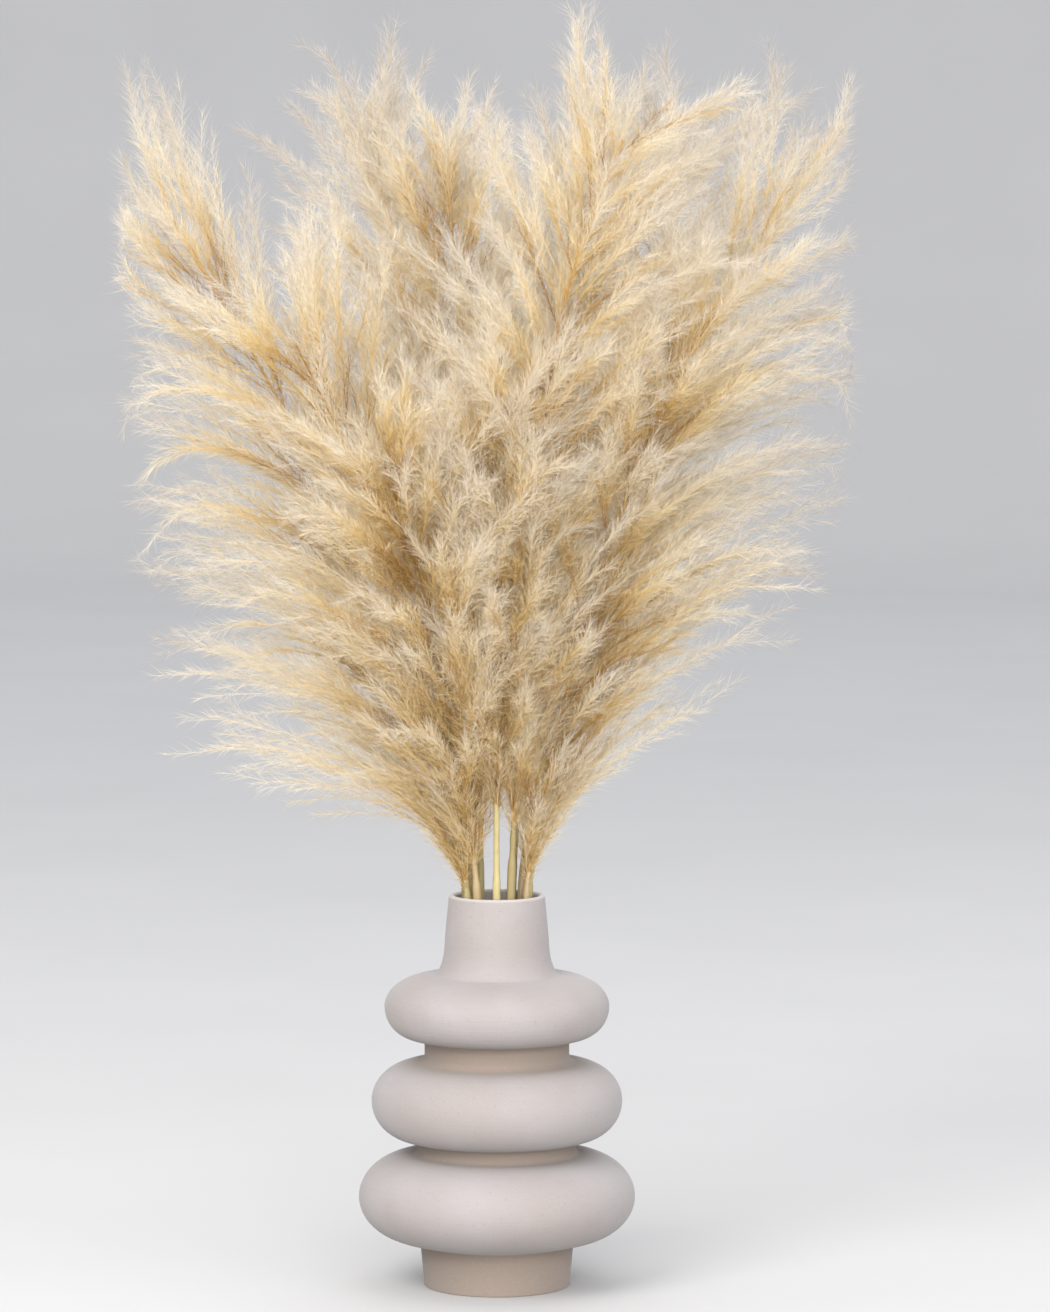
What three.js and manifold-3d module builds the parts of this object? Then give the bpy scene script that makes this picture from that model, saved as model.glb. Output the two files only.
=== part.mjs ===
// A bundle of dried pampas grass standing in a ringed ceramic vase.
//
// Millimetres, +Z up. The origin is the middle of the vase's foot, on the surface it stands on.
// The vase is one turned shell. Every stalk is a stem that stands on the vase's floor and a plume,
// the flower head, that carries on where the stem ends.
import * as THREE from "three";
import { mergeVertices } from "three/addons/utils/BufferGeometryUtils.js";
import Module from "manifold-3d";

const wasm = await Module();
wasm.setup();

// ---- the vase's driving dimensions ----
const wall = 4.8;
const floorThickness = 9;
const edgeBreak = 1; // chamfer round the underside of the foot
const footRadius = 52;
const footTopRadius = 54.5;
const footHeight = 29;
const footFillet = 4;
// From the bottom up. A ring is a fat hoop, as tall as height, and radius is its widest.
const rings = [
  { radius: 98.5, height: 61.5 },
  { radius: 89.3, height: 54.5 },
  { radius: 80, height: 44.5 },
];
// A waist is the groove between two rings: radius is its narrowest, height is from ring to ring,
// and corner is the radius of its two hollow corners.
const waists = [
  { radius: 56.5, height: 11, corner: 4 },
  { radius: 51.5, height: 18, corner: 6 },
];
const ringLand = 1; // level strip between a ring's curve and the hollow corner beside it
const neckRadius = 37;
const flareReach = 9; // how far the neck's hollow foot spreads over the top ring
const flareHeight = 26; // from the top ring to where that hollow ends
const neckStraight = 31.5; // from there to the rim
const rimRadius = 34.3;

// ---- the stalks' driving dimensions ----
const gap = 0.3; // left between pieces that meet
const stemRadius = 2.7; // where it is cut
const stemTopRadius = 2;
const mouthClearance = 4; // between a stem and the neck's wall
const footClearance = 6; // between a stem's cut end and the foot's wall
const crownHeight = 890; // of the tallest tip, above the surface
const fanReach = 295; // how far the widest stalk has leant out at crownHeight
const fanBend = 1.3; // 1 fans out in straight lines, and more curves the stalks outwards
const fanTurn = 8; // degrees that the first stalk stands round from +X
const plumeGirth = 118; // of a plume with room enough, at its widest
const plumeEnds = 0.45; // its width at its two ends, as a share of its widest
const plumeBelly = 0.8; // 1 is widest halfway up, and less is widest lower down

// A tuft is one side branch of a plume with its hairs. These are in the plume's own units, where
// it is one tall, and one from its middle to its edge.
const tuftCount = 15;
const tuftHeight = 0.36;
const tuftThickness = 0.21; // from a tuft's middle to its edge
const tuftRoot = 0.04; // from the plume's middle to where a tuft starts
const tuftReach = 0.835; // from there to where it ends, near the plume's edge
const tuftBow = 0.95; // 1 is a straight tuft, and less bows it outwards
const tuftCrowding = 0.9; // 1 sets the tufts evenly up the plume, and less sets more near its tip
const tuftForm = [[0, 0.3], [0.35, 1], [0.75, 0.8]]; // [height, radius] as shares of the tuft's own
const coreForm = [[0, 0.34], [0.12, 0.3], [0.4, 0.13], [0.8, 0.1]]; // the stem's end up the middle

// How finely round shapes are drawn.
const vaseSides = 32;
const stemSides = 8;
const stemSteps = 10;
const coreSides = 8;
const tuftSides = 6;

// One stalk for each place round the mouth, anticlockwise from above. lean is the stalk's share of
// fanReach, aside is how many degrees it stands from its even place in the ring, short is how far
// its tip stays below crownHeight, and bare is the length of stem that shows between the vase's
// mouth and the plume.
const stalks = [
  { lean: 0.84, aside: 0, short: 32, bare: 25 },
  { lean: 0.78, aside: 0, short: 8, bare: 60 },
  { lean: 0.62, aside: -13, short: 20, bare: 95 },
  { lean: 0.22, aside: 14, short: 30, bare: 80 },
  { lean: 0.44, aside: 0, short: 6, bare: 45 },
  { lean: 1, aside: 0, short: 55, bare: 14 },
  { lean: 0.78, aside: 0, short: 140, bare: 12 },
  { lean: 0.8, aside: -4, short: 235, bare: 30 },
  { lean: 0.5, aside: 0, short: 190, bare: 68 },
  { lean: 0.45, aside: -6, short: 0, bare: 55 },
  { lean: 0.78, aside: 0, short: 120, bare: 18 },
];

// ---- heights that follow from the sizes above ----
const ringBottoms = [footHeight + footFillet];
rings.slice(0, -1).forEach((ring, i) => {
  ringBottoms.push(ringBottoms[i] + ring.height + waists[i].height);
});
const shoulderHeight = ringBottoms.at(-1) + rings.at(-1).height;
const rimHeight = shoulderHeight + flareHeight + neckStraight;
const mouthRing = Math.min(neckRadius, rimRadius) - wall - mouthClearance - stemRadius;
const footRing = footRadius - wall - footClearance - stemRadius;

// ---- the vase ----

// Points of an arc of an ellipse in the half plane (radius, height), angles in degrees.
function arc(radius, height, across, up, from, to, steps) {
  const points = [];
  for (let i = 0; i <= steps; i += 1) {
    const angle = THREE.MathUtils.degToRad(from + ((to - from) * i) / steps);
    points.push(new THREE.Vector2(radius + across * Math.cos(angle), height + up * Math.sin(angle)));
  }
  return points;
}

// A hollow corner turns the outline between upright, at its radius, and level, where it meets a ring.
const corners = [
  { radius: footTopRadius, across: footFillet, up: footFillet },
  ...waists.map((waist) => ({ radius: waist.radius, across: waist.corner, up: waist.corner })),
  { radius: neckRadius, across: flareReach, up: flareHeight },
];

// The vase's outline from the foot up to the rim, moved into the clay by inset. The outer face is
// drawn at 0 and the inner face at the wall's thickness, so the shell follows the rings all through.
function outline(inset, footStart, ringSteps, cornerSteps) {
  const points = [new THREE.Vector2(footRadius - inset, footStart)];
  rings.forEach((ring, i) => {
    const bottom = ringBottoms[i];
    const half = ring.height / 2;
    const [below, above] = [corners[i], corners[i + 1]];
    const hollow = (corner, height, from, to) => arc(
      corner.radius + corner.across, height, corner.across + inset, corner.up + inset, from, to, cornerSteps,
    );
    const quarter = (corner, from, to) => {
      const middle = corner.radius + corner.across + ringLand;
      return arc(middle, bottom + half, ring.radius - middle - inset, half - inset, from, to, ringSteps);
    };
    points.push(
      ...hollow(below, bottom - below.up, 180, 90),
      ...quarter(below, -90, 0),
      ...quarter(above, 0, 90).slice(1), // both quarters hold the ring's widest point
      ...hollow(above, bottom + ring.height + above.up, -90, -180),
    );
  });
  return points;
}

function turnedVase() {
  const lip = wall / 2;
  const profile = [
    new THREE.Vector2(0, 0),
    new THREE.Vector2(footRadius - edgeBreak, 0),
    ...outline(0, edgeBreak, 4, 3), // drawn finer than the inside, which hardly shows
    ...arc(rimRadius - lip, rimHeight - lip, lip, lip, 0, 180, 4),
    ...outline(wall, floorThickness, 2, 1).reverse(),
    new THREE.Vector2(0, floorThickness),
  ];
  return new THREE.LatheGeometry(profile, vaseSides).rotateX(Math.PI / 2);
}

// ---- the fan of stalks ----

// Where a stalk's middle passes at a height, as x and y. Each stalk keeps to its own side of the
// vase's axis, close together at the mouth and apart above and below it, so no two ever cross.
function centreAt(stalk, z) {
  const above = z > rimHeight;
  const share = above
    ? (z - rimHeight) / (crownHeight - rimHeight)
    : (rimHeight - z) / (rimHeight - floorThickness);
  const far = above ? stalk.lean * fanReach : footRing;
  const reach = mouthRing + (far - mouthRing) * share ** fanBend;
  const evenTurn = fanTurn + (360 * stalks.indexOf(stalk)) / stalks.length;
  const turn = THREE.MathUtils.degToRad(evenTurn + stalk.aside);
  return new THREE.Vector2(reach * Math.cos(turn), reach * Math.sin(turn));
}

// Half the way from a stalk to the nearest other one: how far its plume can spread at a height.
function roomAt(stalk, z) {
  const here = centreAt(stalk, z);
  const others = stalks.filter((other) => other !== stalk);
  return Math.min(...others.map((other) => here.distanceTo(centreAt(other, z)))) / 2;
}

// Carries an upright shape onto a stalk: each level of it is widened by widthAt and then moved over
// to where the stalk passes.
function carry(geometry, stalk, widthAt) {
  const place = geometry.getAttribute("position");
  for (let i = 0; i < place.count; i += 1) {
    const z = place.getZ(i);
    const centre = centreAt(stalk, z);
    const width = widthAt(z);
    place.setXY(i, centre.x + width * place.getX(i), centre.y + width * place.getY(i));
  }
  return geometry;
}

function stemGeometry(stalk) {
  const start = floorThickness + gap;
  const length = rimHeight + stalk.bare - start;
  const stem = new THREE.CylinderGeometry(stemTopRadius, stemRadius, length, stemSides, stemSteps);
  stem.rotateX(Math.PI / 2).translate(0, 0, start + length / 2);
  return carry(stem, stalk, () => 1);
}

// ---- the plumes ----

// A closed spindle standing on the origin, one unit tall, from a list of [height, radius].
function spindle(stations, sides) {
  const profile = stations.map(([height, radius]) => new THREE.Vector2(radius, height));
  profile.push(new THREE.Vector2(0, 1));
  return new THREE.LatheGeometry([new THREE.Vector2(0, 0), ...profile], sides).rotateX(Math.PI / 2);
}

function toManifold(geometry) {
  const bare = geometry.clone();
  bare.deleteAttribute("normal");
  bare.deleteAttribute("uv");
  const merged = mergeVertices(bare);
  const vertProperties = merged.getAttribute("position").array;
  const triVerts = new Uint32Array(merged.index.array);
  return new wasm.Manifold(new wasm.Mesh({ numProp: 3, vertProperties, triVerts }));
}

function fromManifold(solid) {
  const mesh = solid.getMesh();
  const geometry = new THREE.BufferGeometry();
  geometry.setAttribute("position", new THREE.BufferAttribute(mesh.vertProperties, 3));
  geometry.setIndex(new THREE.BufferAttribute(mesh.triVerts, 1));
  return geometry;
}

// The tufts leave the middle of the plume at steps of the golden angle, as a plant's leaves do, and
// each sweeps up and out to the plume's edge.
function tuft(index) {
  const shape = spindle(tuftForm, tuftSides);
  const place = shape.getAttribute("position");
  const goldenAngle = Math.PI * (3 - Math.sqrt(5));
  const turn = index * goldenAngle;
  const start = (1 - tuftHeight) * (index / (tuftCount - 1)) ** tuftCrowding;
  for (let i = 0; i < place.count; i += 1) {
    const rise = Math.max(place.getZ(i), 0);
    const out = tuftRoot + tuftReach * rise ** tuftBow;
    place.setXYZ(
      i,
      out * Math.cos(turn) + tuftThickness * place.getX(i),
      out * Math.sin(turn) + tuftThickness * place.getY(i),
      start + tuftHeight * rise,
    );
  }
  return shape;
}

// The whole flower head in the plume's own units: the stem's end running up the middle, and the
// tufts set round it.
function unitPlume() {
  let plume = toManifold(spindle(coreForm, coreSides));
  for (let i = 0; i < tuftCount; i += 1) {
    plume = plume.add(toManifold(tuft(i)));
  }
  return fromManifold(plume);
}

const plumeForm = unitPlume();

function plumeGeometry(stalk) {
  const base = rimHeight + stalk.bare + gap;
  const length = crownHeight - stalk.short - base;
  const spread = (z) => {
    const share = THREE.MathUtils.clamp((z - base) / length, 0, 1);
    const fullness = plumeEnds + (1 - plumeEnds) * Math.sin(Math.PI * share ** plumeBelly);
    return Math.min((plumeGirth / 2) * fullness, roomAt(stalk, z) - gap);
  };
  const plume = plumeForm.clone();
  plume.rotateZ(stalks.indexOf(stalk)).scale(1, 1, length).translate(0, 0, base);
  return carry(plume, stalk, spread);
}

// ---- the object ----

function part(name, geometry, color, roughness) {
  const material = new THREE.MeshStandardMaterial({ color, roughness, metalness: 0 });
  const mesh = new THREE.Mesh(geometry, material);
  mesh.name = name;
  return mesh;
}

const bundle = new THREE.Group();
bundle.add(part("vase", turnedVase(), 0xd2c4ba, 0.85));
stalks.forEach((stalk, i) => {
  const number = String(i + 1).padStart(2, "0");
  bundle.add(part(`stem_${number}`, stemGeometry(stalk), 0xb9ab88, 0.7));
  bundle.add(part(`plume_${number}`, plumeGeometry(stalk), 0xe0cbab, 0.95));
});

export default bundle;
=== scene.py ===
# %% [markdown]
# # A bundle of dried pampas grass in a ringed vase
#
# The object is a bisque-fired vase, a turned shell of fat rings, and eleven cut stalks that stand in
# it. Each stalk is a straw-like stem and, above the vase's mouth, a plume: a flower head of side
# branches that carry thousands of silky hairs. This lesson makes the three kinds of piece one after
# the other, in metres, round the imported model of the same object, and then lights them.

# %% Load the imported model
import math

import bmesh
import bpy
import numpy as np
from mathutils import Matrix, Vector


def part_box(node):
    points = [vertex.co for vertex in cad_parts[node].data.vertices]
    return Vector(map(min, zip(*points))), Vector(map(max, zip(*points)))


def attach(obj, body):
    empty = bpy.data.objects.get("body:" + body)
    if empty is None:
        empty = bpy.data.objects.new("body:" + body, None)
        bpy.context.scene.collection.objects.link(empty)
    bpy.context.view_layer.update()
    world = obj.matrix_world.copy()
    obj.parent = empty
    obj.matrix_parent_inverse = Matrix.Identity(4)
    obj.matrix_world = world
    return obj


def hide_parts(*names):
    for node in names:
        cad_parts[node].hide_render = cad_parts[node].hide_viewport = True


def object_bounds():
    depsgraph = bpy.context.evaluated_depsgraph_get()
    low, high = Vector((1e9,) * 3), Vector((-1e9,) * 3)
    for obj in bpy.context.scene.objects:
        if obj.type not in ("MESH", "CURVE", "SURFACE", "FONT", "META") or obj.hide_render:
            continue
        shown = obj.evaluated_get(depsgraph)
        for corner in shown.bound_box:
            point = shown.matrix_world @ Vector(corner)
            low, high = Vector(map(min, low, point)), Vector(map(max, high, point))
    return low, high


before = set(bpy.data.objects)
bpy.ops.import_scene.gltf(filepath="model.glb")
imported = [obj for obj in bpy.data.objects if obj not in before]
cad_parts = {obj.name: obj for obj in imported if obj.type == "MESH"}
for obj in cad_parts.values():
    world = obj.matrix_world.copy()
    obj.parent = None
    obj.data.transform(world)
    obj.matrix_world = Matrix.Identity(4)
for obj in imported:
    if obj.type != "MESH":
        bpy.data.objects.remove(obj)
cad_low, cad_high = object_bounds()

print("packed pieces:", len(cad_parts), "box:", [round(v, 4) for v in (*cad_low, *cad_high)])

# %% [markdown]
# ## Shader maths that reads like sums
#
# A finish is a net of nodes, and a net is hard to read in a script when every node takes five lines.
# `Signal` wraps one socket, so that `1 - mask * 0.5` adds the Math nodes it needs. `Net` holds a tree,
# and its `node` method adds any other node from its type, its settings and its inputs. `Finish` is
# the net of one material.

# %% A socket that can be added and multiplied
class Signal:
    def __init__(self, net, socket):
        self.net = net
        self.socket = socket

    def maths(self, operation, first, second):
        return self.net.node("ShaderNodeMath", {"operation": operation}, {0: first, 1: second})

    def __add__(self, other):
        return self.maths("ADD", self, other)

    def __sub__(self, other):
        return self.maths("SUBTRACT", self, other)

    def __rsub__(self, other):
        return self.maths("SUBTRACT", other, self)

    def __mul__(self, other):
        return self.maths("MULTIPLY", self, other)

    def __truediv__(self, other):
        return self.maths("DIVIDE", self, other)

    def __pow__(self, other):
        return self.maths("POWER", self, other)

    __radd__ = __add__
    __rmul__ = __mul__


# %% A net of nodes that adds its own nodes
class Net:
    def __init__(self, tree):
        self.tree = tree

    def node(self, kind, settings=None, inputs=None, out=0):
        node = self.tree.nodes.new(kind)
        for key, value in (settings or {}).items():
            if key == "stops":
                self.set_stops(node.color_ramp, value)
            else:
                setattr(node, key, value)
        for key, value in (inputs or {}).items():
            for one in value if isinstance(value, list) else [value]:
                self.feed(self.find(node.inputs, key), one)
        return Signal(self, self.find(node.outputs, out))

    def find(self, sockets, key):
        if isinstance(key, int):
            return sockets[key]
        named = [s for s in sockets if s.identifier == key]
        return (named or [s for s in sockets if s.name == key and s.enabled])[0]

    def feed(self, socket, value):
        if isinstance(value, Signal):
            self.tree.links.new(value.socket, socket)
        elif isinstance(value, tuple) and len(value) == 3 and socket.type == "RGBA":
            socket.default_value = (*value, 1.0)
        else:
            socket.default_value = value

    def set_stops(self, ramp, stops):
        while len(ramp.elements) < len(stops):
            ramp.elements.new(1.0)
        for element, (place, colour) in zip(ramp.elements, stops):
            element.position = place
            element.color = (*colour, 1.0)


# %% A material
class Finish(Net):
    def __init__(self, name):
        self.material = bpy.data.materials.new(name)
        self.material.use_nodes = True
        super().__init__(self.material.node_tree)
        self.tree.nodes.clear()

    def ramp(self, value, stops):
        return self.node("ShaderNodeValToRGB", {"stops": stops}, {"Fac": value}, out="Color")

    def between(self, value, low, high):
        inputs = {"Value": value, "From Min": low, "From Max": high}
        return self.node("ShaderNodeMapRange", {"interpolation_type": "SMOOTHSTEP"}, inputs)

    def noise(self, where, scale, detail=2.0, roughness=0.5):
        inputs = {"Vector": where, "Scale": scale, "Detail": detail, "Roughness": roughness}
        return self.node("ShaderNodeTexNoise", {}, inputs)

    def mix(self, amount, first, second):
        inputs = {"Factor_Float": amount, "A_Color": first, "B_Color": second}
        return self.node("ShaderNodeMix", {"data_type": "RGBA"}, inputs, out="Result_Color")

    def stretch(self, where, scale):
        inputs = {"Vector": where, "Scale": scale}
        return self.node("ShaderNodeMapping", {}, inputs)

    def bump(self, height, strength, distance):
        inputs = {"Height": height, "Strength": strength, "Distance": distance}
        return self.node("ShaderNodeBump", {}, inputs)

    def place(self):
        return self.node("ShaderNodeTexCoord", out="Object")

    def apart(self, vector):
        return [self.node("ShaderNodeSeparateXYZ", {}, {0: vector}, out=axis) for axis in range(3)]

    def done(self, shader):
        output = self.tree.nodes.new("ShaderNodeOutputMaterial")
        self.tree.links.new(shader.socket, output.inputs["Surface"])
        print("finish:", self.material.name, "with", len(self.tree.nodes), "nodes")
        return self.material


# %% A colour
def to_linear(share):
    """One channel from a screen's curve, 0 to 1, to the straight scale that a shader works in."""
    if share <= 0.04045:
        return share / 12.92
    return ((share + 0.055) / 1.055) ** 2.4


def from_screen(red, green, blue):
    """A colour as a screen shows it, 0 to 255 in each channel, ready for a shader."""
    return tuple(to_linear(channel / 255) for channel in (red, green, blue))


print("a middle grey on screen is", round(to_linear(0.5), 3), "to a shader")


# %% [markdown]
# ## A helper that hands a finished piece over
#
# Every piece rides on the one body and stands for its own plain solid, which it hides.

# %% Hand a piece over
BODY = "root"


def hand_over(name, mesh, material, node):
    piece = bpy.data.objects.new(name, mesh)
    bpy.context.scene.collection.objects.link(piece)
    mesh.materials.clear()
    mesh.materials.append(material)
    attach(piece, BODY)
    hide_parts(node)
    triangles = sum(len(face.vertices) - 2 for face in mesh.polygons)
    print(f"{name}: {triangles} triangles")


# %% [markdown]
# ## The vase
#
# The real vase is thrown or cast in a pale pinkish clay and fired without a glaze. A shell turned
# about one axis needs only its outline, so the outline is drawn from arcs, the same ones as the
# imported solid's but many times finer, and a loop turns it about the Z axis.

# %% The vase's sizes
WALL = 0.0048
FLOOR = 0.009
FOOT_RADIUS = 0.052
FOOT_TOP_RADIUS = 0.0545  # where the foot meets the lowest ring
FOOT_HEIGHT = 0.029
FOOT_FILLET = 0.004
EDGE_BREAK = 0.001
RINGS = [(0.0985, 0.0615), (0.0893, 0.0545), (0.080, 0.0445)]  # widest radius and height, from below
WAISTS = [(0.0565, 0.011, 0.004), (0.0515, 0.018, 0.006)]  # narrowest radius, height, hollow corner
RING_LAND = 0.001  # the short step between a hollow corner and the bulge of its ring
NECK_RADIUS = 0.037
FLARE_REACH = 0.009  # how far the neck flares out to meet the highest ring
FLARE_HEIGHT = 0.026
RIM_RADIUS = 0.0343
RIM_HEIGHT = float(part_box("vase")[1].z)
VASE_SIDES = 112
print("the vase stands", round(RIM_HEIGHT, 4), "m tall")


# %% The vase's outline
def arc(radius, height, across, up, start, end, steps):
    """Points on a part of an ellipse round a middle at (radius, height), with angles in degrees."""
    angles = np.radians(np.linspace(start, end, steps + 1))
    return list(zip(radius + across * np.cos(angles), height + up * np.sin(angles)))


def wall_face(inset, start_height, fineness):
    """The outline from the foot up to the rim, moved into the clay by the inset."""
    steps = 2 * fineness
    corners = [(FOOT_TOP_RADIUS, FOOT_FILLET, FOOT_FILLET)]
    corners += [(radius, corner, corner) for radius, _, corner in WAISTS]
    corners.append((NECK_RADIUS, FLARE_REACH, FLARE_HEIGHT))
    gaps = [gap for _, gap, _ in WAISTS] + [0]

    def hollow(corner, height, start, end):
        narrow, across, up = corner
        return arc(narrow + across, height, across + inset, up + inset, start, end, steps)

    def bulge(corner, height, radius, half, start, end):
        middle = corner[0] + corner[1] + RING_LAND
        return arc(middle, height, radius - middle - inset, half - inset, start, end, steps)

    points = [(FOOT_RADIUS - inset, start_height)]
    bottom = FOOT_HEIGHT + FOOT_FILLET
    for (radius, height), below, above, gap in zip(RINGS, corners, corners[1:], gaps):
        half = height / 2
        centre = bottom + half
        points += hollow(below, bottom - below[2], 180, 90)
        points += bulge(below, centre, radius, half, -90, 0)
        points += bulge(above, centre, radius, half, 0, 90)[1:]
        points += hollow(above, bottom + height + above[2], -90, -180)
        bottom += height + gap
    return points


LIP = WALL / 2
OUTSIDE_STEPS = 8  # arc steps in an eighth of a turn
INSIDE_STEPS = 3
outline = arc(FOOT_RADIUS - EDGE_BREAK, EDGE_BREAK, EDGE_BREAK, EDGE_BREAK, -90, 0, 4)
outline += wall_face(0, 2 * EDGE_BREAK, OUTSIDE_STEPS)
outline += arc(RIM_RADIUS - LIP, RIM_HEIGHT - LIP, LIP, LIP, 0, 180, 8)
outline += wall_face(WALL, FLOOR, INSIDE_STEPS)[::-1]
print("the outline has", len(outline), "points")


# %% Faces between rows of points
def runs_along(points):
    """How far along a line of points each one lies."""
    steps = np.linalg.norm(np.diff(points, axis=0), axis=1)
    return np.concatenate([[0.0], np.cumsum(steps)])


def side_faces(work, uv_map, rows, ups):
    """Faces between rows of points. The map runs round each row, and up it by the places given."""
    sides = len(rows[0])
    for i in range(len(rows) - 1):
        for k in range(sides):
            near = (k + 1) % sides
            face = work.faces.new([rows[i][k], rows[i][near], rows[i + 1][near], rows[i + 1][k]])
            face.smooth = True
            corners = [(k, i), (k + 1, i), (k + 1, i + 1), (k, i + 1)]
            for loop, (turn, row) in zip(face.loops, corners):
                loop[uv_map].uv = (turn / sides, ups[row])


def finished(work, name):
    """The faces turned outwards and written to a mesh."""
    bmesh.ops.recalc_face_normals(work, faces=work.faces[:])
    mesh = bpy.data.meshes.new(name)
    work.to_mesh(mesh)
    work.free()
    return mesh


# %% Turn the vase
def turned(name, profile, sides):
    """A closed mesh turned about Z, with a flat disc at each end of the profile."""
    work = bmesh.new()
    uv_map = work.loops.layers.uv.new("UVMap")
    widest = max(radius for radius, _ in profile)
    angles = [2 * math.pi * k / sides for k in range(sides)]
    rows = []
    for radius, height in profile:
        ring = [(radius * math.cos(a), radius * math.sin(a), height) for a in angles]
        rows.append([work.verts.new(spot) for spot in ring])
    runs = runs_along(profile)
    side_faces(work, uv_map, rows, runs / runs[-1])
    for row in (rows[0], rows[-1]):
        middle = work.verts.new((0, 0, row[0].co.z))
        for k in range(sides):
            face = work.faces.new([row[k], row[(k + 1) % sides], middle])
            for loop in face.loops:
                spot = loop.vert.co
                loop[uv_map].uv = (0.5 + spot.x / widest / 2, 0.5 + spot.y / widest / 2)
    return finished(work, name)


vase_mesh = turned("vase_mesh", outline, VASE_SIDES)
print("the vase is turned in", VASE_SIDES, "steps")

# %% [markdown]
# The bisque is matt and slightly sandy. It needs five things: cloudy patches from uneven firing, fine
# dark and light grains, faint rings left by the turning, painted shade, which is a warmer, darker clay
# colour in the grooves, on the slopes of the rings next to them, round the foot and on the inner floor,
# where shade falls, and paler clay on the lip and on a thin line where the foot meets the lowest ring.
# All of it reads Object coordinates, because the pattern belongs to the lump of clay and not to a map.

# %% The bisque finish
CLAY = from_screen(133, 128, 127)
CLAY_CLOUD = from_screen(128, 121, 118)
# painted shade: a darker, warmer clay colour for the grooves, the foot and the inner floor
CLAY_PAINTED_SHADE = from_screen(118, 105, 94)
CLAY_GRAIN = from_screen(104, 88, 76)
CLAY_PALE = from_screen(160, 154, 152)
PAINTED_SHADE_FADE = (0.053, 0.078)  # the radii between which the painted shade of the grooves and the foot fades out
PAINTED_SHADE_TOP = (0.195, 0.215)  # and the heights, so that the neck stays pale
PAINTED_SHADE_SHARE = 0.9
LINE_BEGINS = (0.0300, 0.0315)  # heights of the pale line above the foot
LINE_ENDS = (0.0335, 0.0350)
LINE_SHARE = 0.6
LIP_BELOW_RIM = (0.0022, 0.0004)
LIP_SHARE = 0.7


def bisque():
    finish = Finish("bisque")
    where = finish.place()
    x, y, z = finish.apart(where)
    radius = (x * x + y * y) ** 0.5
    cloud = finish.noise(where, 14.0, 3.0)
    colour = finish.mix(finish.between(cloud, 0.35, 0.7), CLAY, CLAY_CLOUD)
    # Painted shade: below the neck, the grooves, the ring slopes beside them and the foot turn darker
    # and warmer.
    below_neck = 1 - finish.between(z, *PAINTED_SHADE_TOP)
    painted_shade = (1 - finish.between(radius, *PAINTED_SHADE_FADE)) * below_neck
    inside = 1 - finish.between(radius, RIM_RADIUS - WALL, RIM_RADIUS - 0.5 * WALL)
    colour = finish.mix(painted_shade * PAINTED_SHADE_SHARE, colour, CLAY_PAINTED_SHADE)
    pale_line = finish.between(z, *LINE_BEGINS) * (1 - finish.between(z, *LINE_ENDS))
    colour = finish.mix(pale_line * LINE_SHARE, colour, CLAY_PALE)
    # painted shade on the inner floor and the middle of the base
    colour = finish.mix(inside * 0.15, colour, CLAY_PAINTED_SHADE)
    grain = finish.noise(where, 900.0, 2.0, 0.6)
    speck = finish.between(finish.noise(where, 420.0, 1.0), 0.66, 0.74)
    colour = finish.mix(speck * 0.2, colour, CLAY_GRAIN)
    colour = finish.mix(finish.between(grain, 0.55, 0.8) * 0.25, colour, CLAY_PALE)
    # the lip is painted paler
    lip = finish.between(z, *(RIM_HEIGHT - below for below in LIP_BELOW_RIM))
    colour = finish.mix(lip * LIP_SHARE, colour, CLAY_PALE)
    turning = finish.noise(finish.stretch(where, (1.5, 1.5, 190.0)), 6.0, 2.0)
    height = grain * 0.5 + turning * 0.7 + finish.noise(where, 160.0, 3.0) * 0.6
    inputs = {
        "Base Color": colour,
        "Roughness": 0.72 + grain * 0.2,
        "Normal": finish.bump(height, 0.35, 0.0006),
        "Specular IOR Level": 0.3,
        "Sheen Weight": 0.12,
        "Sheen Roughness": 0.6,
    }
    return finish.done(finish.node("ShaderNodeBsdfPrincipled", {}, inputs))


hand_over("ceramic_vase", vase_mesh, bisque(), "vase")

# %% [markdown]
# ## The stalks' paths
#
# Eleven stalks are set round the mouth like the ribs of a fan. Above the mouth each one leans further
# out the higher it goes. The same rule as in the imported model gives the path, and the model's own
# boxes give the heights, so that a piece lies exactly where its solid does.

# %% Where a stalk passes
STALKS = 11
LEANS = [0.84, 0.78, 0.62, 0.22, 0.44, 1.0, 0.78, 0.8, 0.5, 0.45, 0.78]  # shares of the fan's reach
ASIDE = [0, 0, -13, 14, 0, 0, 0, -4, 0, -6, 0]  # degrees from a stalk's even place in the ring
CROWN = float(cad_high.z)
FAN_REACH = 0.295
FAN_BEND = 1.3  # over 1, a stalk leans more and more on its way up
FAN_TURN = math.radians(8)
MOUTH_RING = 0.0228  # radius of the ring of stalks at the mouth
FOOT_RING = 0.0385  # and on the vase's floor
print("the stalks' crown is at", round(CROWN, 4), "m")


# %% The rule of a stalk's path
def turn_of(i):
    return FAN_TURN + 2 * math.pi * i / STALKS + math.radians(ASIDE[i])


def middle_at(i, heights):
    """The stalk's middle at each height, as rows of x, y, z."""
    heights = np.asarray(heights, dtype=float)
    above = np.clip((heights - RIM_HEIGHT) / (CROWN - RIM_HEIGHT), 0, None)
    below = np.clip((RIM_HEIGHT - heights) / (RIM_HEIGHT - FLOOR), 0, None)
    reach = MOUTH_RING + (LEANS[i] * FAN_REACH - MOUTH_RING) * above**FAN_BEND
    reach = reach + (FOOT_RING - MOUTH_RING) * below**FAN_BEND
    return np.stack([reach * math.cos(turn_of(i)), reach * math.sin(turn_of(i)), heights], axis=1)


def unit(vectors):
    return vectors / np.linalg.norm(vectors, axis=-1, keepdims=True)


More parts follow.
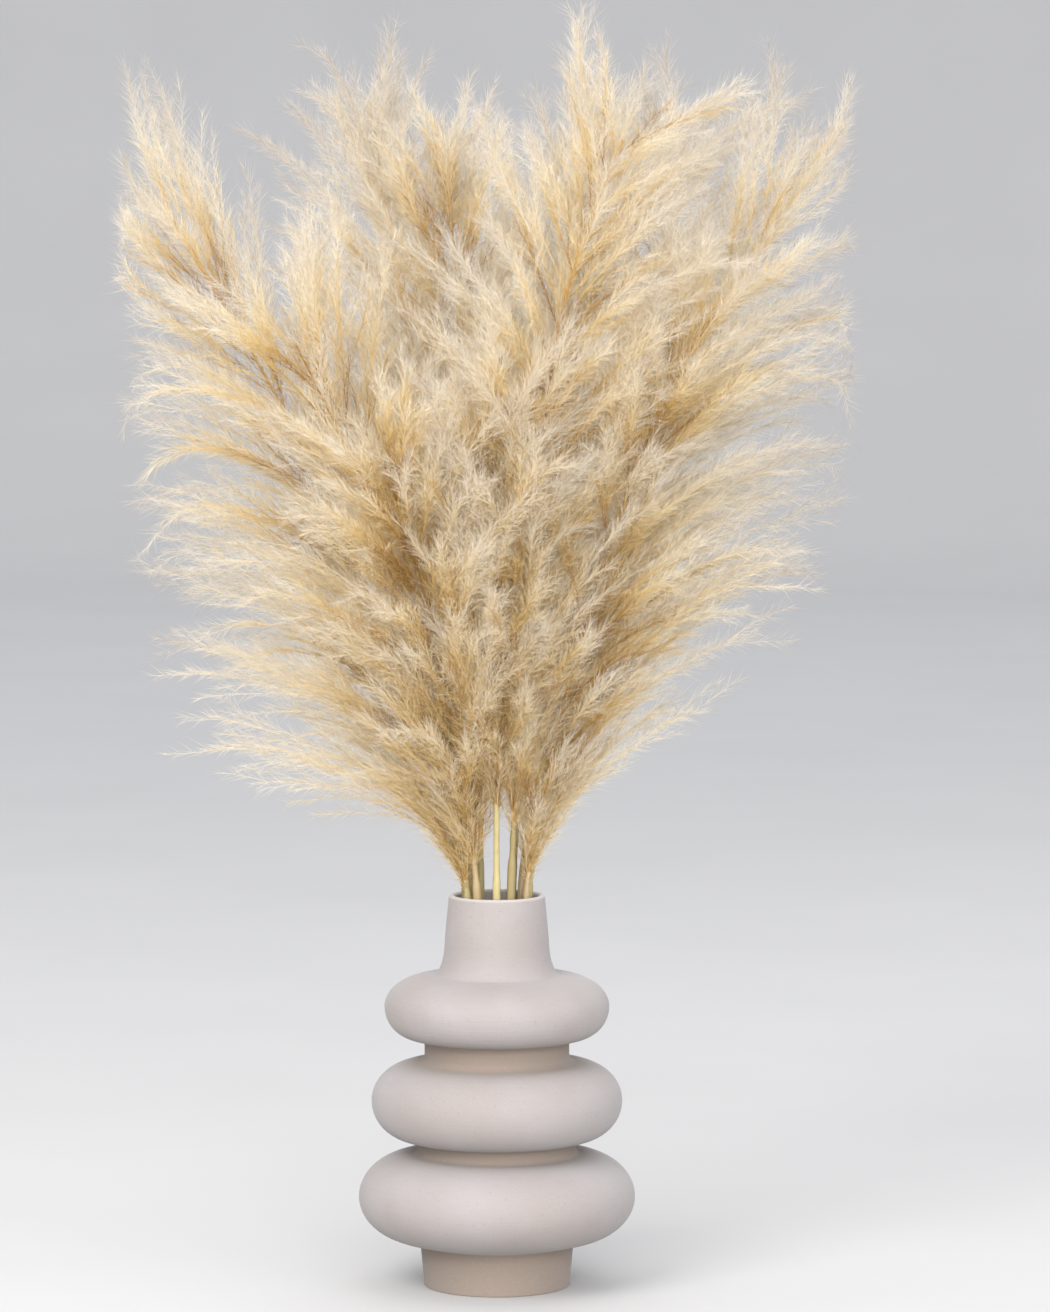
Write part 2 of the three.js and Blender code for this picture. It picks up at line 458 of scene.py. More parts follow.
def square_to(headings, helper=None):
    """Two directions square to each heading. The first is square to the helper too."""
    if helper is None:
        helper = np.where(np.abs(headings[..., 2:3]) > 0.9, [1.0, 0.0, 0.0], [0.0, 0.0, 1.0])
    first = unit(np.cross(headings, helper))
    return first, np.cross(headings, first)


print("stalk 1 leaves the mouth at", middle_at(0, [RIM_HEIGHT]).round(4).tolist())

# %% [markdown]
# ## The stems
#
# A cut stem is a dry reed about 5 mm thick: straight fibres, a joint every so often where a leaf sat,
# and the papery remains of the leaf's sheath wrapped round it. Its radius and its path are a rule, so
# the mesh is a tube through rings of points: each ring takes its radius from the joints and sheaths
# near it.

# %% The stems' sizes
STEM_CUT_RADIUS = 0.0027
STEM_TOP_RADIUS = 0.0020
STEM_SIDES = 20
STEM_RING_GAP = 0.003
SHEATH_ENDS = (0.2, 0.85)  # how far up from the mouth a sheath ends, as a share of the stem
SHEATH_THICKNESS = (0.0003, 0.0009)
SHEATH_EDGE = 0.0012
SHEATH_START = 0.08  # how far below the mouth a sheath starts
SHEATH_RISE = 0.05
JOINT_FIRST = 0.06
JOINT_GAP = 0.13
JOINT_DRIFT = 0.05
JOINT_PROUD = 0.0005
JOINT_WIDTH = 0.0022
FIBRE_DEPTH = 0.035  # as a share of the radius
OVERLAP_DEPTH = 0.16  # the step where a sheath wraps over itself
OVERLAP_SIDES = 2.5
MAP_PER_METRE = 10
rng = np.random.default_rng(11)
print("a stem has", STEM_SIDES, "sides and a ring of points every", STEM_RING_GAP, "m")


# %% Build one stem
def tube(name, centres, radii, ripple):
    """A closed tube. Each ring's points stand out by their own share of its radius, its ripple."""
    work = bmesh.new()
    uv_map = work.loops.layers.uv.new("UVMap")
    across, up = square_to(unit(np.gradient(centres, axis=0)))
    angles = np.linspace(0, 2 * math.pi, ripple.shape[1], endpoint=False)
    rows = []
    for i, centre in enumerate(centres):
        size = radii[i] * (1 + ripple[i])
        offsets = np.cos(angles)[:, None] * across[i] + np.sin(angles)[:, None] * up[i]
        rows.append([work.verts.new(spot) for spot in centre + size[:, None] * offsets])
    side_faces(work, uv_map, rows, runs_along(centres) * MAP_PER_METRE)
    for row in (rows[0], rows[-1]):
        face = work.faces.new(row)
        for loop, angle in zip(face.loops, angles):
            loop[uv_map].uv = (0.5 + 0.1 * math.cos(angle), 0.1 * math.sin(angle))
    return finished(work, name)


def stem_mesh(i):
    low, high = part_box(f"stem_{i + 1:02d}")
    heights = np.arange(low.z, high.z, STEM_RING_GAP)
    heights[-1] = high.z
    centres = middle_at(i, heights)
    share = (heights - low.z) / (high.z - low.z)
    radii = STEM_CUT_RADIUS + (STEM_TOP_RADIUS - STEM_CUT_RADIUS) * share
    sheath_top = RIM_HEIGHT + rng.uniform(*SHEATH_ENDS) * (high.z - RIM_HEIGHT)
    sheath = 1 / (1 + np.exp(np.clip((heights - sheath_top) / SHEATH_EDGE, -40, 40)))
    sheath *= np.clip((heights - RIM_HEIGHT + SHEATH_START) / SHEATH_RISE, 0, 1)
    radii = radii + sheath * rng.uniform(*SHEATH_THICKNESS)
    for joint in np.arange(JOINT_FIRST, high.z, JOINT_GAP) + rng.uniform(0, JOINT_DRIFT):
        radii = radii + JOINT_PROUD * np.exp(-(((heights - joint) / JOINT_WIDTH) ** 2))
    fibres = FIBRE_DEPTH * rng.standard_normal(STEM_SIDES)
    from_overlap = (np.arange(STEM_SIDES) - rng.integers(STEM_SIDES)) % STEM_SIDES
    overlap = OVERLAP_DEPTH * np.exp(-from_overlap / OVERLAP_SIDES)
    ripple = fibres[None, :] + sheath[:, None] * overlap[None, :]
    return tube(f"stem_mesh_{i + 1:02d}", centres, radii, ripple)


# %% [markdown]
# The straw is drawn from long fibres: noise stretched a hundredfold along the stem, read from the
# stem's own UV map so that it bends with the path. Each stem has one `tint`, from yellow straw
# through olive to the pinkish brown of a sheath, kept in an attribute of its mesh.

# %% The straw finish
STRAW = from_screen(160, 148, 104)
STRAW_OLIVE = from_screen(126, 112, 74)
STRAW_ROSE = from_screen(166, 143, 112)
STRAW_DARK = from_screen(98, 80, 52)
STEM_TINTS = [0.15, 0.9, 0.55, 0.1, 0.45, 0.5, 0.3, 0.7, 0.05, 0.5, 0.8]


def straw():
    finish = Finish("straw")
    map_place = finish.node("ShaderNodeUVMap", {"uv_map": "UVMap"})
    tint = finish.node("ShaderNodeAttribute", {"attribute_name": "tint"}, out="Fac")
    fibre = finish.noise(finish.stretch(map_place, (26.0, 2.0, 1.0)), 3.0, 4.0, 0.65)
    patch = finish.noise(finish.stretch(map_place, (2.0, 5.0, 1.0)), 1.5, 2.0)
    colour = finish.ramp(tint, [(0.0, STRAW), (0.5, STRAW_OLIVE), (1.0, STRAW_ROSE)])
    colour = finish.mix(finish.between(fibre, 0.5, 0.75) * 0.55, colour, STRAW_DARK)
    colour = finish.mix(finish.between(patch, 0.45, 0.75) * 0.4, colour, STRAW_OLIVE)
    inputs = {
        "Base Color": colour,
        "Roughness": 0.42 + fibre * 0.3,
        "Normal": finish.bump(fibre, 0.5, 0.0004),
        "Specular IOR Level": 0.4,
    }
    return finish.done(finish.node("ShaderNodeBsdfPrincipled", {}, inputs))


# %% Make the stems
straw_finish = straw()
for i in range(STALKS):
    mesh = stem_mesh(i)
    tint = mesh.attributes.new("tint", "FLOAT", "POINT")
    tint.data.foreach_set("value", np.full(len(mesh.vertices), STEM_TINTS[i], dtype=np.float32))
    hand_over(f"straw_stem_{i + 1:02d}", mesh, straw_finish, f"stem_{i + 1:02d}")

# %% [markdown]
# ## The plumes
#
# A plume is a panicle: the stem runs on up the middle, side branches leave it in steps of the golden
# angle, each side branch carries branchlets, and every one of them is a finger of fine hairs that
# point forwards along it. The weight of the hairs bows the branches outwards and down, most of all
# low on the plume, where they are longest.
#
# The branching is worked out here as lines of points. Geometry Nodes then do what repeats: they
# give each line a thin skin, and set a hair every fraction of a millimetre along it.

# %% How a plume's branches are shaped
GOLDEN = math.pi * (3 - math.sqrt(5))
DOWN = np.array([0.0, 0.0, -1.0])
SIDEWAYS = np.array([1.0, 0.0, 0.0])  # a branch's turn round the stem is counted from this side
BRANCHES = 92
BRANCH_STEPS = 10
BRANCHLETS = 9  # on each branch
BRANCHLET_STEPS = 3
SKIRT = 16  # short twigs that hide a plume's foot
SPINE_STEPS = 47
SPINE_LAP = 0.012  # the middle stem starts this far down inside the cut stem, and fluff hides the joint
SPINE_SHORT = 0.078  # it ends this far below the plume's tip, and branches go on
PARTING = 0.22  # how far the branches part to the plume's two sides, as on a feather
FLATNESS = 0.30  # how much shorter the branches between the two sides are
BRANCH_HANG = 1.6
HANG_LENGTH = 0.16  # a longer branch than this hangs more, and a shorter one less
BRANCH_SWAY = 0.25
STRAY_HANG = 1.0
SMALL_SWAY = 0.3  # of strays and of all small twigs
# Along the plume from its foot to its tip: how long the branches are, and how far they open.
LENGTH_STATIONS = ([0.0, 0.1, 0.35, 0.6, 0.85, 1.0], [0.075, 0.115, 0.155, 0.150, 0.125, 0.095])
OPENING_STATIONS = ([0.0, 0.12, 0.4, 0.7, 1.0], [14, 27, 31, 27, 15])
print("branchlets on a plume:", BRANCHES * BRANCHLETS)

# %% The plumes' habits
# One plume's habit: how much longer and more open its branches are, how wide its crown is, how they
# crowd (under 1 is towards the tip), how they hang, which way the tip nods (as x, y in metres), and
# how pale it is.
HABITS = [
    dict(long=1.05, open=1.00, crown=1.0, crowd=1.00, hang=0.95, nod=(0.010, 0.0), pale=0.02),
    dict(long=0.98, open=0.95, crown=2.3, crowd=0.86, hang=0.80, nod=(-0.010, 0.0), pale=0.08),
    dict(long=0.95, open=0.90, crown=1.3, crowd=1.00, hang=0.80, nod=(0.0, 0.012), pale=0.0),
    dict(long=0.95, open=0.90, crown=1.3, crowd=1.08, hang=0.75, nod=(-0.008, 0.0), pale=-0.05),
    dict(long=0.98, open=0.90, crown=1.1, crowd=1.00, hang=0.80, nod=(-0.004, 0.004), pale=0.03),
    dict(long=1.15, open=1.08, crown=1.0, crowd=1.08, hang=1.10, nod=(-0.014, 0.0), pale=0.0),
    dict(long=1.15, open=1.10, crown=1.2, crowd=1.08, hang=1.15, nod=(-0.012, -0.008), pale=-0.09),
    dict(long=0.98, open=0.98, crown=1.3, crowd=1.08, hang=1.00, nod=(-0.010, -0.010), pale=-0.05),
    dict(long=0.85, open=0.90, crown=1.3, crowd=1.08, hang=0.85, nod=(0.010, -0.008), pale=-0.02),
    dict(long=1.00, open=0.95, crown=2.0, crowd=0.92, hang=0.80, nod=(0.036, 0.004), pale=-0.03),
    dict(long=1.02, open=1.00, crown=1.2, crowd=1.08, hang=0.95, nod=(0.014, -0.008), pale=-0.02),
]
# Branches that stray past the others: the plume, how far up it they leave, which side they go to
# (1 is +X), how long they are, and how far they open in degrees.
STRAYS = [
    (1, 0.48, 1, 0.18, 38), (1, 0.66, 1, 0.16, 26), (1, 0.28, 1, 0.18, 36), (1, 0.58, 1, 0.19, 36),
    (1, 0.40, 1, 0.19, 40),
    (6, 0.44, -1, 0.18, 36), (6, 0.33, -1, 0.20, 40), (6, 0.56, -1, 0.15, 30), (6, 0.22, -1, 0.19, 40),
    (7, 0.13, -1, 0.18, 52), (7, 0.14, -1, 0.19, 47), (7, 0.12, -1, 0.15, 57), (7, 0.15, -1, 0.16, 50),
    (7, 0.23, -1, 0.20, 42), (7, 0.24, -1, 0.19, 46), (7, 0.22, -1, 0.18, 39), (7, 0.33, -1, 0.19, 38),
    (11, 0.10, 1, 0.15, 36), (11, 0.20, 1, 0.18, 34), (11, 0.34, 1, 0.17, 34),
]
print(len(HABITS), "habits and", len(STRAYS), "stray branches")


# %% Let twigs grow
SWAY_TURN = 4.5  # radians, so that a twig sways one way and then the other


def grow(starts, headings, lengths, steps, hang, sway):
    """Many twigs at once. Each bends down and sways a little more with every step."""
    points = np.empty((len(starts), steps + 1, 3))
    points[:, 0] = starts
    heading = unit(headings)
    for step in range(steps):
        share = (step + 1) / steps
        points[:, step + 1] = points[:, step] + heading * (lengths / steps)[:, None]
        bend = DOWN * (hang * share)[:, None] + sway * math.cos(SWAY_TURN * share)
        heading = unit(heading + bend / steps)
    return points


def splay(headings, angles, turns, helper=None):
    """The headings tipped over by an angle towards a turn about themselves."""
    across, up = square_to(headings, helper)
    side = np.cos(turns)[:, None] * across + np.sin(turns)[:, None] * up
    return np.cos(angles)[:, None] * headings + np.sin(angles)[:, None] * side


def soft_limit(values, low, high, margin):
    """Values that near a limit are eased to stop short of it."""
    over = np.maximum(values - (high - margin), 0)
    under = np.maximum((low + margin) - values, 0)
    return values - over + margin * np.tanh(over / margin) + under - margin * np.tanh(under / margin)


# %% Room for the plumes, and their tones
PROUD = 0.010 + 0.03 * np.array([h - l for l, h in zip(cad_low, cad_high)])
HAIRS_OUT = 0.018  # the hairs stand out from their twigs by about this much
ROOM_LOW = np.array(cad_low) - PROUD + HAIRS_OUT
ROOM_HIGH = np.array(cad_high) + PROUD - HAIRS_OUT
EASE = np.array([0.05, 0.06, 0.03])
# A tone of 0 is the golden core, painted shade deep in a plume, and 1 is the palest edge.
TONE_CORE = 0.05
PALEST = 0.1  # a side branch's own paleness: most are near this
GOLDEN_DEPTH = 0.50  # and a few are up to this much more golden
GOLDEN_RARITY = 2.2
STRAY_PAINTED_LIGHT = 0.22  # painted light: strays are painted paler, for the light they catch
DEPTH_SHADE_RISE = 0.56  # painted shade: the tone rises along a branch, from its root deep in the plume to its tip
TONE_CURVE = 0.6  # under 1, most of that rise comes near the root
TONE_EVENS = 0.8  # how much of a branch's own paleness has gone at its tip
TONE_TWIG = 0.15  # along a branchlet
TONE_SKIRT = 0.38
TOP_LIGHT_TONE = 0.2  # painted light: the tone rises from the vase's mouth up to the tallest tip, so high hairs are paler
CROWN_MIDDLE = 0.4  # the share of that way at which it adds nothing
print("room for twigs:", ROOM_LOW.round(3).tolist(), ROOM_HIGH.round(3).tolist())


# %% The middle stem of a plume
def along_lines(lines, owner, where):
    """The spot and the heading at a share of the way along each owner's line."""
    place = where * (lines.shape[1] - 1)
    step = np.minimum(place.astype(int), lines.shape[1] - 2)
    begin = lines[owner, step]
    end = lines[owner, step + 1]
    return begin + (end - begin) * (place - step)[:, None], unit(end - begin)


def on_spine(spine, where):
    return along_lines(spine[None], np.zeros(len(where), dtype=int), where)


NOD_FROM = 0.6  # the share of the way up at which the middle stem begins to nod
NOD_SPAN = 0.4


def spine_of(i):
    low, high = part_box(f"plume_{i + 1:02d}")
    heights = np.linspace(low.z - SPINE_LAP, high.z - SPINE_SHORT, SPINE_STEPS + 1)
    spine = middle_at(i, heights)
    share = np.linspace(0, 1, len(spine))
    nodding = (np.clip(share - NOD_FROM, 0, None)[:, None] / NOD_SPAN) ** 2
    spine[:, :2] += np.array(HABITS[i]["nod"]) * nodding
    return spine


# %% Its side branches
HIGHEST_BRANCH = 0.99
TURN_SPREAD = (-0.4, 0.4)
OPENING_SPREAD = (0.7, 1.3)
LENGTH_SPREAD = (0.8, 1.15)
HANG_SPREAD = (0.5, 1.3)


def side_branches(draw, habit, spine):
    """Branches in steps of the golden angle up the spine, and their lengths."""
    at = HIGHEST_BRANCH * ((np.arange(BRANCHES) + 0.5) / BRANCHES) ** habit["crowd"]
    starts, along = on_spine(spine, at)
    turns = np.arange(BRANCHES) * GOLDEN + draw.uniform(*TURN_SPREAD, BRANCHES)
    turns += PARTING * np.sin(2 * turns)
    crown = 1 + (habit["crown"] - 1) * at**2
    opening = np.radians(np.interp(at, *OPENING_STATIONS)) * habit["open"] * crown
    opening *= draw.uniform(*OPENING_SPREAD, BRANCHES)
    lengths = np.interp(at, *LENGTH_STATIONS) * habit["long"]
    lengths *= draw.uniform(*LENGTH_SPREAD, BRANCHES)
    lengths *= 1 - FLATNESS * np.cos(turns) ** 2
    hang = BRANCH_HANG * habit["hang"] * (lengths / HANG_LENGTH)
    hang *= draw.uniform(*HANG_SPREAD, BRANCHES)
    sway = BRANCH_SWAY * draw.standard_normal((BRANCHES, 3))
    headings = splay(along, opening, turns, SIDEWAYS)
    return grow(starts, headings, lengths, BRANCH_STEPS, hang, sway), lengths


def let_some_stray(draw, i, spine, branches, lengths):
    """Each of the plume's strays takes the place of a branch. The list says which."""
    replaced = []
    for _, share_up, side, length, angle in [stray for stray in STRAYS if stray[0] == i + 1]:
        start, along = on_spine(spine, np.array([share_up]))
        heading = splay(along, np.radians([angle]), np.array([-side * math.pi / 2]), SIDEWAYS)
        sway = SMALL_SWAY * draw.standard_normal((1, 3))
        hang = np.array([STRAY_HANG])
        stray = grow(start, heading, np.array([length]), BRANCH_STEPS, hang, sway)
        k = draw.integers(BRANCHES)
        branches[k] = stray[0]
        lengths[k] = length
        replaced.append(k)
    return replaced


# %% Its branchlets, and the skirt at its foot
BRANCHLET_ZONE = (0.06, 0.88)  # where on a branch they begin, and over how much of it they go on
BRANCHLET_LIMITS = (0.04, 0.97)
BRANCHLET_SHIFT = 0.04
BRANCHLET_LEAN = (6, 23)  # degrees
BRANCHLET_SHARE = 0.48  # of its branch's length, at the branch's root
BRANCHLET_TAPER = 0.28  # and this much less at its tip
BRANCHLET_SPREAD = (0.7, 1.3)
BRANCHLET_HANG = 0.5
BRANCHLET_HANG_SPREAD = (0.4, 1.2)
SKIRT_REACH = 0.06
SKIRT_OPENING = (6, 30)  # degrees
SKIRT_LENGTHS = (0.03, 0.055)
SKIRT_HANG = 0.6


def small_twigs(draw, branches, lengths):
    """Branchlets on every branch, the branch that each is on, and how far along it."""
    owner = np.repeat(np.arange(BRANCHES), BRANCHLETS)
    begin, span = BRANCHLET_ZONE
    where = np.tile((np.arange(BRANCHLETS) + 0.6) / BRANCHLETS, BRANCHES) * span + begin
    shift = draw.uniform(-BRANCHLET_SHIFT, BRANCHLET_SHIFT, len(where))
    where = np.clip(where + shift, *BRANCHLET_LIMITS)
    roots, along = along_lines(branches, owner, where)
    leaning = np.radians(draw.uniform(*BRANCHLET_LEAN, len(owner)))
    headings = splay(along, leaning, draw.uniform(0, 2 * math.pi, len(owner)))
    small = lengths[owner] * (BRANCHLET_SHARE - BRANCHLET_TAPER * where)
    small *= draw.uniform(*BRANCHLET_SPREAD, len(owner))
    hang = BRANCHLET_HANG * draw.uniform(*BRANCHLET_HANG_SPREAD, len(owner))
    sway = SMALL_SWAY * draw.standard_normal((len(owner), 3))
    return grow(roots, headings, small, BRANCHLET_STEPS, hang, sway), owner, where


def skirt_twigs(draw, spine):
    starts, along = on_spine(spine, draw.uniform(0.0, SKIRT_REACH, SKIRT))
    opening = np.radians(draw.uniform(*SKIRT_OPENING, SKIRT))
    headings = splay(along, opening, np.arange(SKIRT) * GOLDEN)
    lengths = draw.uniform(*SKIRT_LENGTHS, SKIRT)
    sway = SMALL_SWAY * draw.standard_normal((SKIRT, 3))
    return grow(starts, headings, lengths, BRANCHLET_STEPS, np.full(SKIRT, SKIRT_HANG), sway)


# %% All the twigs of one plume
SPINE_GIRTH = (0.0017, 0.0006)  # radius at the root and at the tip
BRANCH_GIRTH = (0.0003, 0.0001)
BRANCHLET_GIRTH = (0.00015, 0.00008)
SKIRT_FLUFF = 0.8


def panicle(i):
    """The middle stem of plume i, and all its twigs as (points, girths, tones, fluff)."""
    draw = np.random.default_rng(100 + i)
    spine = spine_of(i)
    branches, lengths = side_branches(draw, HABITS[i], spine)
    strays = let_some_stray(draw, i, spine, branches, lengths)
    paleness = PALEST - GOLDEN_DEPTH * draw.uniform(0, 1, BRANCHES) ** GOLDEN_RARITY
    paleness[strays] = STRAY_PAINTED_LIGHT
    branchlets, owner, where = small_twigs(draw, branches, lengths)
    skirt = skirt_twigs(draw, spine)

    tip = np.linspace(0, 1, BRANCH_STEPS + 1)
    small_tip = np.linspace(0, 1, BRANCHLET_STEPS + 1)
    twigs = [(spine, SPINE_GIRTH, np.zeros(len(spine)), 1.0)]
    for branch, pale in zip(branches, paleness):
        tone = pale * (1 - TONE_EVENS * tip) + DEPTH_SHADE_RISE * tip**TONE_CURVE
        twigs.append((branch, BRANCH_GIRTH, tone, 1.0))
    for branchlet, k, start in zip(branchlets, owner, where):
        begin = paleness[k] * (1 - TONE_EVENS * start) + DEPTH_SHADE_RISE * start**TONE_CURVE
        twigs.append((branchlet, BRANCHLET_GIRTH, begin + TONE_TWIG * small_tip, 1.0))
    for twig in skirt:
        twigs.append((twig, BRANCH_GIRTH, TONE_SKIRT + TONE_TWIG * small_tip, SKIRT_FLUFF))
    return spine, twigs


# %% Twigs as one mesh of lines
def lines_mesh(i):
    """The plume's twigs as one mesh of edges, with what the nodes need kept on its points."""
    spine, twigs = panicle(i)
    spots = []
    edges = []
    first = 0
    kept = {"girth": [], "tone": [], "fluff": [], "flare": [], "main": []}
    for points, (root, tip), tone, fluff in twigs:
        share = np.linspace(0, 1, len(points))
        points = soft_limit(points, ROOM_LOW, ROOM_HIGH, EASE)
        height = (points[:, 2] - RIM_HEIGHT) / (CROWN - RIM_HEIGHT)
        spots.append(points)
        edges.extend((first + k, first + k + 1) for k in range(len(points) - 1))
        first += len(points)
        kept["girth"].append(root + (tip - root) * share)
        # painted light: hairs paler high up and darker low down
        painted_top_light = TOP_LIGHT_TONE * (height - CROWN_MIDDLE)
        kept["tone"].append(TONE_CORE + HABITS[i]["pale"] + tone + painted_top_light)
        rising = np.clip(0.7 + 0.8 * share, 0, 1)  # hairs are longest in the middle of a twig
        falling = np.clip(2.0 - 1.4 * share, 0, 1)
        kept["fluff"].append(fluff * rising * falling)
        kept["flare"].append(1.15 - 0.3 * share)  # and stand off it less towards its tip
        kept["main"].append(np.full(len(points), float(len(points) == len(spine))))
    spots = np.concatenate(spots)
    mesh = bpy.data.meshes.new(f"plume_lines_{i + 1:02d}")
    mesh.from_pydata(spots.tolist(), edges, [])
    for name, values in kept.items():
        layer = mesh.attributes.new(name, "FLOAT", "POINT")
        layer.data.foreach_set("value", np.concatenate(values).astype(np.float32))
    ends = np.array(edges)
    length = float(np.linalg.norm(spots[ends[:, 0]] - spots[ends[:, 1]], axis=1).sum())
    return mesh, length


# %% [markdown]
# The tree below takes a plume's twigs and dresses them. A hair is a three-sided needle, a closed
# solid of four faces, because there are tens of thousands of them on a plume. Every hair leans off
# its twig by a random angle, to a random side. Each hair and each skin gets a place on one small
# map, `OFBake`: across it runs the tone, from the golden core to the pale edge, and up it runs the
# way from a hair's root to its tip.

# %% What the tree is given
TREE_INPUTS = [
    ("Twigs", "NodeSocketGeometry", None),
    ("Spacing", "NodeSocketFloat", 0.0006),
    ("Hair Length", "NodeSocketFloat", 0.020),
    ("Hair Width", "NodeSocketFloat", 0.00024),
    ("Least Lean", "NodeSocketFloat", math.radians(7)),
    ("Most Lean", "NodeSocketFloat", math.radians(54)),
    ("Seed", "NodeSocketInt", 1),
    ("Finish", "NodeSocketMaterial", None),
]
print("the tree is given", len(TREE_INPUTS), "things")


# %% A net for the tree
class Dressing(Net):
    """The tree's net, with short names for what it does often, and its own inputs in `given`."""

    def __init__(self, name):
        super().__init__(bpy.data.node_groups.new(name, "GeometryNodeTree"))
        interface = self.tree.interface
        for label, kind, value in TREE_INPUTS:
            socket = interface.new_socket(label, in_out="INPUT", socket_type=kind)
            if value is not None:
                socket.default_value = value
        interface.new_socket("Plume", in_out="OUTPUT", socket_type="NodeSocketGeometry")
        outputs = self.tree.nodes.new("NodeGroupInput").outputs
        self.given = {socket.name: Signal(self, socket) for socket in outputs if socket.name}

    def kept(self, name):
        inputs = {"Name": name}
        return self.node("GeometryNodeInputNamedAttribute", {"data_type": "FLOAT"}, inputs)

    def keep(self, geometry, name, value, data_type="FLOAT", domain="POINT"):
        settings = {"data_type": data_type, "domain": domain}
        inputs = {"Geometry": geometry, "Name": name, "Value": value}
        return self.node("GeometryNodeStoreNamedAttribute", settings, inputs)

    def chance(self, low, high, seed):
        inputs = {"Min_001": low, "Max_001": high, "Seed": self.given["Seed"] + seed}
        return self.node("FunctionNodeRandomValue", {"data_type": "FLOAT"}, inputs, out="Value_001")

    def row(self, x, y, z):
        return self.node("ShaderNodeCombineXYZ", {}, {"X": x, "Y": y, "Z": z})


# %% Hairs along the twigs
NEEDLE_SIDES = 3
NEEDLE_RADIUS = 0.577  # of a three-sided needle that is one wide, before it is scaled
TONE_CHANCE = 0.11
HAIR_LENGTHS = (0.7, 1.3)


def add_needle(net):
    inputs = {"Vertices": NEEDLE_SIDES, "Side Segments": 1, "Depth": 1.0}
    inputs |= {"Radius Top": 0.0, "Radius Bottom": NEEDLE_RADIUS}
    needle = net.node("GeometryNodeMeshCone", {"fill_type": "NGON"}, inputs)
    place = net.node("GeometryNodeInputPosition")
    needle = net.keep(needle, "along", net.node("ShaderNodeSeparateXYZ", {}, {0: place}, out="Z"))
    return net.keep(needle, "side", net.node("GeometryNodeInputIndex") * 0.5)


def add_hairs(net):
    """A needle on every spot along the twigs, leaning off its twig as chance has it."""
    given = net.given
    curves = net.node("GeometryNodeMeshToCurve", {}, {"Mesh": given["Twigs"]})
    inputs = {"Curve": curves, "Length": given["Spacing"]}
    points = net.node("GeometryNodeCurveToPoints", {"mode": "LENGTH"}, inputs)
    tangent = Signal(net, net.find(points.socket.node.outputs, "Tangent"))
    points = net.keep(points, "tone", net.kept("tone") + net.chance(-TONE_CHANCE, TONE_CHANCE, 1))
    aim = net.node("FunctionNodeAlignRotationToVector", {"axis": "Z"}, {"Vector": tangent})
    lean = net.chance(given["Least Lean"], given["Most Lean"], 2) * net.kept("flare")
    lean = net.row(lean, 0.0, net.chance(0.0, 2 * math.pi, 3))
    inputs = {"Rotation": aim, "Rotate By": lean}
    aim = net.node("FunctionNodeRotateRotation", {"rotation_space": "LOCAL"}, inputs)
    length = given["Hair Length"] * net.kept("fluff") * net.chance(*HAIR_LENGTHS, 4)
    size = net.row(given["Hair Width"], given["Hair Width"], length)
    inputs = {"Points": points, "Instance": add_needle(net), "Rotation": aim, "Scale": size}
    hairs = net.node("GeometryNodeInstanceOnPoints", {}, inputs)
    return net.node("GeometryNodeRealizeInstances", {}, {"Geometry": hairs})


# %% A skin round the twigs
SKIN_ALONG = 0.3  # a skin's colour goes only this far towards that of a hair's tip


def add_skin(net, sides, wanted):
    lines = net.node("GeometryNodeMeshToCurve", {}, {"Mesh": net.given["Twigs"], "Selection": wanted})
    factor = net.node("GeometryNodeSplineParameter", out="Factor")
    lines = net.keep(lines, "along", factor * SKIN_ALONG)
    ring = net.node("GeometryNodeCurvePrimitiveCircle", {}, {"Resolution": sides, "Radius": 1.0})
    ring = net.keep(ring, "side", net.node("GeometryNodeInputIndex") / (sides - 1))
    inputs = {"Curve": lines, "Profile Curve": ring, "Scale": net.kept("girth"), "Fill Caps": True}
    return net.node("GeometryNodeCurveToMesh", {}, inputs)


# %% The tree that dresses the twigs
SPINE_SIDES = 8
TWIG_SIDES = 3
MAP_EDGE = 0.03  # the map's empty margin
MAP_SPAN = 0.92
HAIR_MAP_WIDTH = 0.012
HAIR_MAP_BULGE = 0.08  # keeps a face at a hair's root from being a mere line on the map


def dressing_tree():
    net = Dressing("dress_twigs_with_hairs")
    parts = [add_hairs(net)]
    parts.append(add_skin(net, SPINE_SIDES, net.kept("main")))
    parts.append(add_skin(net, TWIG_SIDES, 1 - net.kept("main")))
    whole = net.node("GeometryNodeJoinGeometry", {}, {"Geometry": parts})
    side = net.kept("side")
    tone = net.node("ShaderNodeClamp", {}, {"Value": net.kept("tone")})
    across = MAP_EDGE + MAP_SPAN * tone + side * HAIR_MAP_WIDTH
    up = MAP_EDGE + MAP_SPAN * net.kept("along") + side * (1 - side) * HAIR_MAP_BULGE
    whole = net.keep(whole, "OFBake", net.row(across, up, 0.0), "FLOAT2", "CORNER")
    whole = net.node("GeometryNodeSetShadeSmooth", {}, {"Geometry": whole})
    whole = net.node("GeometryNodeRealizeInstances", {}, {"Geometry": whole})
    inputs = {"Geometry": whole, "Material": net.given["Finish"]}
    whole = net.node("GeometryNodeSetMaterial", {}, inputs)
    result = net.tree.nodes.new("NodeGroupOutput")
    net.tree.links.new(whole.socket, result.inputs[0])
    print("dressing tree:", len(net.tree.nodes), "nodes")
    return net.tree


# %% [markdown]
# Pampas hair is silk-like and lets light through, and that is most of its look: a plume glows pale
# at its edges and turns golden inside, where light has passed through many hairs. So the finish is a
# matt surface mixed with a share of light let through, in one colour ramp from core to edge, and the
# ramp's golden core is painted shade for the plume's depth.

